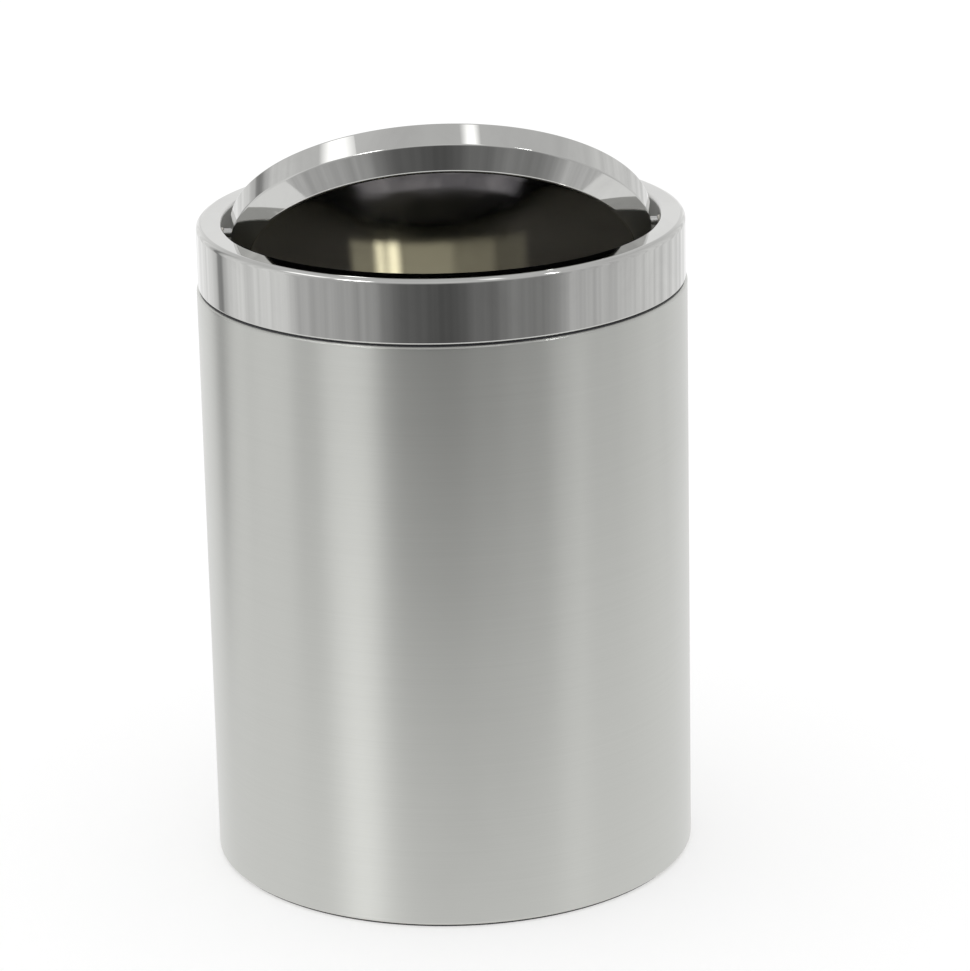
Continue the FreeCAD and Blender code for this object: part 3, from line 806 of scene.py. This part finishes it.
# Lamps: name, azimuth and elevation in degrees, distance, width, height and power
LAMPS = (
    ("window_left", -45, 30, 1.2, 0.34, 0.8, 11.0),
    ("window_high", -74, 49, 1.2, 0.46, 0.34, 0.56),
    ("strip_right", 56, 34, 1.2, 0.065, 0.96, 2.7),
    ("lamp_high", 30, 65, 1.0, 0.12, 0.3, 0.14),
)
# Beams from the front, through the gap between collar and lid: name, azimuth, elevation and spread in
# degrees, power, and whether it falls in stripes
BEAMS = (
    ("beam_wall", 0, 55, 4.6, 1060, True),
    ("beam_floor", -2, 63.6, 3.2, 1000, False),
)
# Stripes of light on the wall inside the bin: place in mm from its middle and level from there to the right
STRIPES = (
    (-35, 0.14), (-24, 0.85), (-20.5, 0.4), (-18.5, 1), (-14, 0.19), (10, 0.12), (28, 0.05), (42, 0),
)
# They are drawn this far to each side, in mm
STRIPES_REACH = 50
# The stripes end this far below the beam's axis, square to it, with an edge this soft each way, in mm
STRIPES_SILL = 10
STRIPES_EDGE = 0.4


class TRASHCAN_OT_stage(bpy.types.Operator):
    """Set the floor, the light, the flags and the camera"""
    bl_idname = "trash_can.stage"
    bl_label = "Stage"

    def execute(self, context):
        stage = context.scene.trash_can.stage
        context.scene.view_settings.view_transform = "Standard"
        self.make_floor(stage)
        self.make_world(context.scene, stage)
        self.make_flags(stage)
        self.make_ceiling(stage)
        self.make_lamps(stage)
        self.make_camera(context.scene, stage)
        return {"FINISHED"}

    def make_floor(self, stage):
        deselect_all()
        bpy.ops.mesh.primitive_circle_add(vertices=DISC_STEPS, radius=FLOOR_RADIUS, fill_type="NGON")
        floor = bpy.context.active_object
        floor.name = "floor"
        material, tree, shader = new_material("Floor")[:3]
        shader.inputs["Base Color"].default_value = stage.floor
        shader.inputs["Roughness"].default_value = FLOOR_ROUGH
        shader.inputs["Specular IOR Level"].default_value = FLOOR_SPECULAR
        path = tree.nodes.new("ShaderNodeLightPath").outputs
        seen = calculate(tree, "MULTIPLY", path["Is Camera Ray"], stage.floor_lift)
        lift = calculate(tree, "MAXIMUM", seen, path["Is Glossy Ray"])
        white = tree.nodes.new("ShaderNodeEmission").outputs[0]
        both = add_node(tree, "ShaderNodeMixShader", {0: lift, 1: shader.outputs[0], 2: white})
        tree.links.new(both.outputs[0], tree.nodes["Material Output"].inputs[0])
        floor.data.materials.append(material)

    def make_world(self, scene, stage):
        world = bpy.data.worlds.new("Studio")
        scene.world = world
        world.use_nodes = True
        tree = world.node_tree
        tree.nodes.clear()
        path = tree.nodes.new("ShaderNodeLightPath").outputs
        strength = mix_value(tree, path["Is Glossy Ray"], stage.ambient, stage.sky)
        strength = mix_value(tree, path["Is Camera Ray"], strength, 1.0)
        sky = add_node(tree, "ShaderNodeBackground", {"Color": (1, 1, 1, 1), "Strength": strength})
        output = tree.nodes.new("ShaderNodeOutputWorld")
        tree.links.new(sky.outputs[0], output.inputs[0])

    def make_flags(self, stage):
        level_from = {first: level for _, first, _, level, _ in FLAGS}
        level_to = {last: level for _, _, last, _, level in FLAGS}
        for name, first, last, first_level, last_level in FLAGS:
            start = math.radians(first)
            foot = stage.flag_radius * Vector((math.sin(start), -math.cos(start), 0))
            flag = draw_line(f"flag_{name}", [foot, foot + stage.flag_height * UP])
            bpy.ops.mesh.select_all(action="SELECT")
            steps = max(2, round((last - first) / FLAG_STEP))
            bpy.ops.mesh.spin(steps=steps, angle=math.radians(first - last), center=(0, 0, 0), axis=UP)
            bpy.ops.object.mode_set(mode="OBJECT")
            material, tree, shader, place = new_material(f"Flag {name}")
            parts = add_node(tree, "ShaderNodeSeparateXYZ", {0: place}).outputs
            forward = calculate(tree, "MULTIPLY", parts[1], -1.0)
            azimuth = calculate(tree, "DEGREES", calculate(tree, "ARCTAN2", parts[0], forward))
            level = ramp(tree, azimuth, first, last, first_level, last_level)
            soft = min(FLAG_SOFT, FLAG_SOFT_SHARE * (last - first))
            before = (level_to.get(first, first_level) - first_level) / 2
            after = (level_from.get(last, last_level) - last_level) / 2
            level = calculate(tree, "ADD", level, ramp(tree, azimuth, first, first + soft, before, 0.0))
            level = calculate(tree, "ADD", level, ramp(tree, azimuth, last - soft, last, 0.0, after))
            streaks = noise(tree, stretch(tree, place, STREAK_STRETCH), STREAK_SCALE, STREAK_DETAIL)
            level = calculate(tree, "MULTIPLY", level, ramp(tree, streaks, *NOISE_SPAN, *STREAK_LEVELS))
            above = ramp(tree, parts[2], FLAG_TOP_SHARE * stage.flag_height, stage.flag_height)
            level = mix_value(tree, above, level, stage.ceiling)
            self.show_in_reflections(flag, material, tree, shader, level)

    def make_ceiling(self, stage):
        deselect_all()
        bpy.ops.mesh.primitive_circle_add(
            vertices=DISC_STEPS, radius=stage.ceiling_radius, fill_type="NGON",
            location=stage.ceiling_height * UP)
        bpy.ops.object.transform_apply(location=True, rotation=False, scale=False)
        ceiling = bpy.context.active_object
        ceiling.name = "ceiling"
        material, tree, shader, place = new_material("Ceiling")
        clouds = ramp(tree, noise(tree, place, CLOUD_SCALE, CLOUD_DETAIL), *NOISE_SPAN, *CLOUD_LEVELS)
        level = calculate(tree, "MULTIPLY", clouds, stage.ceiling)
        self.show_in_reflections(ceiling, material, tree, shader, level)

    def show_in_reflections(self, piece, material, tree, shader, level):
        """Let a piece of the stage glow at a level that only reflections show."""
        shader.inputs["Base Color"].default_value = (0, 0, 0, 1)
        shader.inputs["Specular IOR Level"].default_value = 0
        shader.inputs["Emission Strength"].default_value = 1
        tree.links.new(level, shader.inputs["Emission Color"])
        piece.data.materials.append(material)
        piece.visible_camera = False
        piece.visible_diffuse = False
        piece.visible_shadow = False

    def make_lamps(self, stage):
        for name, azimuth, elevation, distance, wide, high, power in LAMPS:
            lamp = self.add_lamp(
                name, "AREA", power, Vector(), math.radians(azimuth), math.radians(elevation), distance)
            lamp.data.shape = "RECTANGLE"
            lamp.data.size = wide
            lamp.data.size_y = high
            lamp.visible_diffuse = False
            self.fade(lamp.data)
        for name, azimuth, elevation, spread, power, striped in BEAMS:
            beam = self.add_lamp(
                name, "SPOT", power, Vector(stage.beam_aim), math.radians(azimuth), math.radians(elevation),
                stage.beam_distance)
            beam.data.color = stage.beam_tint
            beam.data.spot_size = math.radians(spread)
            beam.data.shadow_soft_size = stage.beam_lamp
            beam.visible_glossy = False
            if striped:
                self.stripe(beam.data, math.cos(math.radians(elevation)), stage)

    def fade(self, data):
        """Fade a lamp's light towards its edges."""
        data.use_nodes = True
        tree = data.node_tree
        spot = tree.nodes.new("ShaderNodeNewGeometry").outputs["Parametric"]
        parts = add_node(tree, "ShaderNodeSeparateXYZ", {0: spot}).outputs
        level = 1.0
        for part, side in zip(parts, (data.size, data.size_y)):
            margin = min(LAMP_FADE_SHARE, LAMP_FADE / side)
            from_middle = calculate(tree, "ABSOLUTE", calculate(tree, "SUBTRACT", part, 0.5))
            level = calculate(tree, "MULTIPLY", level, ramp(tree, from_middle, 0.5 - margin, 0.5, 1.0, 0.0))
        tree.links.new(level, tree.nodes["Emission"].inputs["Strength"])

    def stripe(self, data, slope, stage):
        """Let a beam through in stripes, as the bars of a window do, and only above a sill."""
        to_wall = stage.beam_distance + (BODY_HIGH.x - stage.beam_aim.y) / slope
        reach = STRIPES_REACH * MM / to_wall
        data.use_nodes = True
        tree = data.node_tree
        towards = tree.nodes.new("ShaderNodeTexCoord").outputs["Normal"]
        parts = add_node(tree, "ShaderNodeSeparateXYZ", {0: towards}).outputs
        across = calculate(tree, "DIVIDE", parts["X"], parts["Z"])
        bars = add_node(tree, "ShaderNodeValToRGB", {0: ramp(tree, across, reach, -reach)})
        bars.color_ramp.interpolation = "CONSTANT"
        bars.color_ramp.elements[1].color = (0, 0, 0, 1)
        for place, level in STRIPES:
            stop = bars.color_ramp.elements.new((place + STRIPES_REACH) / (2 * STRIPES_REACH))
            stop.color = (level, level, level, 1)
        tree.links.new(bars.outputs[0], tree.nodes["Emission"].inputs["Color"])
        below = calculate(tree, "DIVIDE", parts["Y"], parts["Z"])
        sill = STRIPES_SILL * MM / to_wall
        edge = STRIPES_EDGE * MM / to_wall
        lit = ramp(tree, below, sill - edge, sill + edge, 1.0, 0.0)
        tree.links.new(lit, tree.nodes["Emission"].inputs["Strength"])

    def add_lamp(self, name, kind, power, aim, turn, lift, distance):
        """Place a lamp at an azimuth and elevation from the point that it is aimed at."""
        back = Vector((math.sin(turn) * math.cos(lift), -math.cos(turn) * math.cos(lift), math.sin(lift)))
        data = bpy.data.lights.new(name, kind)
        data.energy = power
        lamp = bpy.data.objects.new(name, data)
        bpy.context.scene.collection.objects.link(lamp)
        lamp.location = aim + distance * back
        lamp.rotation_mode = "QUATERNION"
        lamp.rotation_quaternion = (-back).to_track_quat("-Z", "Y")
        return lamp

    def make_camera(self, scene, stage):
        forward = Vector((
            math.sin(stage.yaw) * math.cos(stage.pitch),
            math.cos(stage.yaw) * math.cos(stage.pitch),
            -math.sin(stage.pitch)))
        level = Vector((math.cos(stage.yaw), -math.sin(stage.yaw), 0))
        above = level.cross(forward)
        right = math.cos(stage.roll) * level + math.sin(stage.roll) * above
        up = math.cos(stage.roll) * above - math.sin(stage.roll) * level
        data = bpy.data.cameras.new("camera")
        data.lens = stage.lens
        camera = bpy.data.objects.new("camera", data)
        scene.collection.objects.link(camera)
        camera.matrix_world = Matrix.LocRotScale(
            Vector(stage.camera_place), Matrix((right, up, -forward)).transposed(), None)
        scene.camera = camera


class TRASHCAN_PT_panel(bpy.types.Panel):
    bl_idname = "TRASHCAN_PT_panel"
    bl_label = "Swing-Top Trash Can"
    bl_space_type = "VIEW_3D"
    bl_region_type = "UI"
    bl_category = "Trash Can"

    def draw(self, context):
        can = context.scene.trash_can
        for operator, groups in PANEL_ROWS:
            box = self.layout.box()
            box.operator(operator.bl_idname)
            for group in groups:
                settings = getattr(can, group)
                for name in settings.__annotations__:
                    box.prop(settings, name)


PANEL_ROWS = (
    (TRASHCAN_OT_body, ("body", "steel")),
    (TRASHCAN_OT_base, ("base", "plastic")),
    (TRASHCAN_OT_collar, ("collar",)),
    (TRASHCAN_OT_lid, ("lid",)),
    (TRASHCAN_OT_pivots, ("nut",)),
    (TRASHCAN_OT_stage, ("stage",)),
)

CLASSES = (
    BodySizes, BaseSizes, CollarSizes, LidSizes, NutSizes, SteelFinish, PlasticFinish, StageSettings,
    TrashCan, *(operator for operator, groups in PANEL_ROWS), TRASHCAN_PT_panel,
)


def register():
    for cls in CLASSES:
        bpy.utils.register_class(cls)
    bpy.types.Scene.trash_can = PointerProperty(
        type=TrashCan, name="Trash Can", description="Sizes, finishes and stage of the trash can")


def unregister():
    del bpy.types.Scene.trash_can
    for cls in reversed(CLASSES):
        bpy.utils.unregister_class(cls)


def main():
    register()
    bpy.ops.trash_can.body()
    bpy.ops.trash_can.base()
    bpy.ops.trash_can.collar()
    bpy.ops.trash_can.lid()
    bpy.ops.trash_can.pivots()
    bpy.ops.trash_can.stage()


if __name__ == "__main__":
    main()
